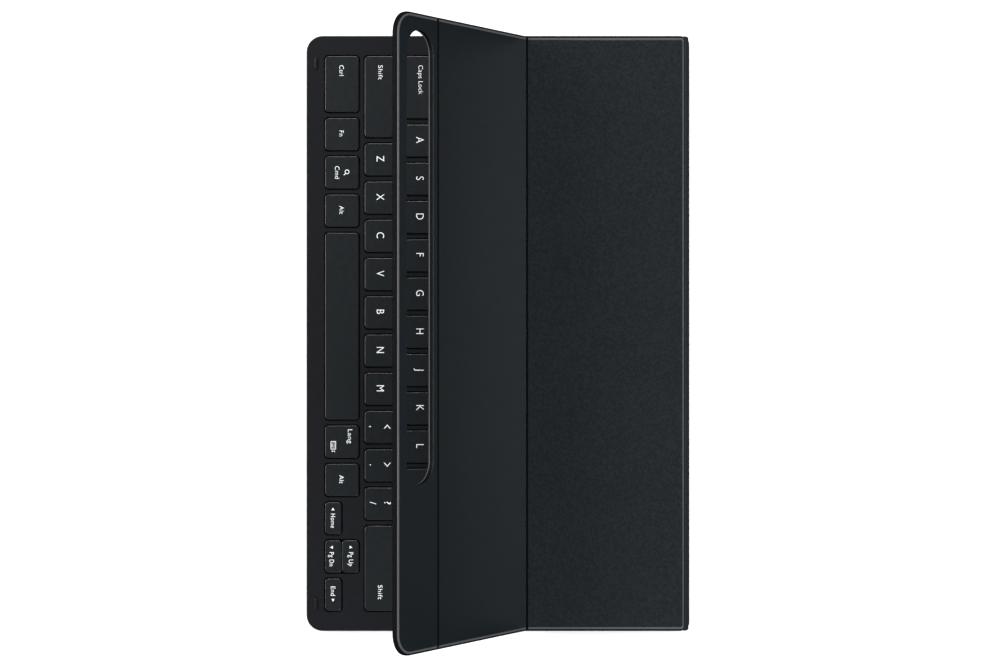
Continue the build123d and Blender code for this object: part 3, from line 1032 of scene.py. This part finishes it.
# words with an arrow head, its turn in quarters; places are in millimetres from the key's middle
for node, text, turn, word_x, arrow_x, rise, flat in (
    ("home_key", "Home", 2, 1.2, -4.5, 0.0, 0.87),
    ("page_down_key", "Pg Dn", 3, 1.25, -4.45, -0.75, 0.87),
    ("page_up_key", "Pg Up", 1, 1.25, -4.5, 0.35, 0.87),
    ("end_key", "End", 0, -1.8, 2.6, 0.0, 1.0),
):
    x, y = middle_of(node)
    prints = Print(node)
    prints.word(text, x + word_x * MM, y + (rise - 0.2) * MM, SMALL_HEIGHT, flat=flat)
    prints.triangle(x + arrow_x * MM, y + (rise - 0.1) * MM, ARROW_SIZE, turn)
    prints.done()


def grouped_places(node, widths, front, depth):
    """The middles and widths of the keys in a row of a grouped node, from their widths in units."""
    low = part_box(node)[0]
    places = []
    left = low.x
    for width in widths:
        cap_width = width * UNIT - KEY_SPACING
        places.append((left + cap_width / 2, front + depth / 2, cap_width))
        left += width * UNIT
    return places


def print_rows(node, rows):
    """The print of a grouped node: each row is its widths, its legends, its front and its depth.

    A pair of signs stands one above the other, and a lone character is a letter.
    """
    prints = Print(node)
    for widths, legends, front, depth in rows:
        for (x, y, width), legend in zip(grouped_places(node, widths, front, depth), legends):
            if isinstance(legend, tuple):
                upper_sign, lower_sign = legend
                prints.word(upper_sign, x, y + PAIR_RISE, SYMBOL_HEIGHT)
                prints.word(lower_sign, x, y - PAIR_DROP, SYMBOL_HEIGHT)
            elif len(legend) == 1:
                letter_x = x + WORD_SHIFT
                prints.word(legend, letter_x, y - LETTER_DROP, LETTER_HEIGHT, flat=LETTER_FLAT)
            elif depth < SHORT_KEY:
                prints.word(legend, x, y, SMALL_HEIGHT)
            elif x < LEFT_PART:
                word_start = x - width / 2 + LEFT_MARGIN
                prints.word(legend, word_start, y - LEGEND_DROP, WORD_HEIGHT, "left")
            else:
                word_end = x + width / 2 - RIGHT_MARGIN
                prints.word(legend, word_end, y - LEGEND_DROP, WORD_HEIGHT, "right")
    prints.done()


tab_low, tab_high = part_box("tab_row_keys")
key_depth = tab_high.y - tab_low.y
home_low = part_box("home_row_end_keys")[0]
far_low, far_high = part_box("number_and_function_keys")
half_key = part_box("home_key")
half_depth = half_key[1].y - half_key[0].y

home_row = [(":", ";"), ('"', "'"), "Enter"]
tab_row = ["Tab", *"QWERTYUIOP", ("{", "["), ("}", "]"), ("|", "\\")]
number_row = [*zip("~!@#$%^&*()_+", "`1234567890-="), "Delete"]
function_row = ["Esc", *(f"F{number}" for number in range(1, 13)), "Del"]

print_rows("home_row_end_keys", [([1, 1, ENTER_WIDTH], home_row, home_low.y, key_depth)])
tab_widths = [TAB_WIDTH] + [1] * 12 + [BACKSLASH_WIDTH]
print_rows("tab_row_keys", [(tab_widths, tab_row, tab_low.y, key_depth)])
number_widths = [1] * 13 + [DELETE_WIDTH]
function_widths = [ROW_WIDTH / FUNCTION_KEYS] * FUNCTION_KEYS
print_rows(
    "number_and_function_keys",
    [
        (number_widths, number_row, far_low.y, key_depth),
        (function_widths, function_row, far_high.y - half_depth, half_depth),
    ],
)


# ---- stage, light and camera ----
CAMERA_HEIGHT = 1064 * MM
CAMERA_Y = 1.1 * MM
FOCAL_PIXELS = 2190
IMAGE_WIDTH = 1000
FLOOR_HALF = 3.0
WORLD_STRENGTH = 0.92

camera_data = bpy.data.cameras.new("camera")
camera_data.lens = camera_data.sensor_width * FOCAL_PIXELS / IMAGE_WIDTH
camera = bpy.data.objects.new("camera", camera_data)
bpy.context.collection.objects.link(camera)
camera.location = (0, CAMERA_Y, CAMERA_HEIGHT)
camera.rotation_euler = (0, 0, math.pi / 2)
bpy.context.scene.camera = camera

floor_mesh = bpy.data.meshes.new("floor")
floor_bm = bmesh.new()
bmesh.ops.create_grid(floor_bm, x_segments=1, y_segments=1, size=FLOOR_HALF)
floor_bm.to_mesh(floor_mesh)
floor_bm.free()
floor = bpy.data.objects.new("floor", floor_mesh)
bpy.context.collection.objects.link(floor)
floor_mesh.materials.append(material("pale_floor", (0.8, 0.8, 0.8), 0.9)[0])
floor.visible_glossy = False


def soft_light(name, place, size, power):
    """A rectangular light, in metres and watts, that points at the part's origin."""
    data = bpy.data.lights.new(name, "AREA")
    data.shape = "RECTANGLE"
    data.size, data.size_y = size
    data.energy = power
    light = bpy.data.objects.new(name, data)
    bpy.context.collection.objects.link(light)
    light.location = place
    light.rotation_euler = (-Vector(place)).to_track_quat("-Z", "Y").to_euler()


soft_light("front_light", place=(-0.3, -1.6, 1.35), size=(1.1, 0.6), power=36)
soft_light("left_light", place=(-1.7, 0.0, 1.3), size=(0.5, 1.0), power=26)
soft_light("right_light", place=(1.6, 0.6, 1.3), size=(0.6, 1.1), power=23)
soft_light("rear_light", place=(-0.15, 1.8, 1.4), size=(1.1, 0.6), power=23)

world = bpy.data.worlds.new("studio")
world.use_nodes = True
background = world.node_tree.nodes["Background"]
background.inputs["Color"].default_value = (1, 1, 1, 1)
background.inputs["Strength"].default_value = WORLD_STRENGTH
world.cycles_visibility.glossy = False
bpy.context.scene.world = world
bpy.context.scene.view_settings.view_transform = "Standard"
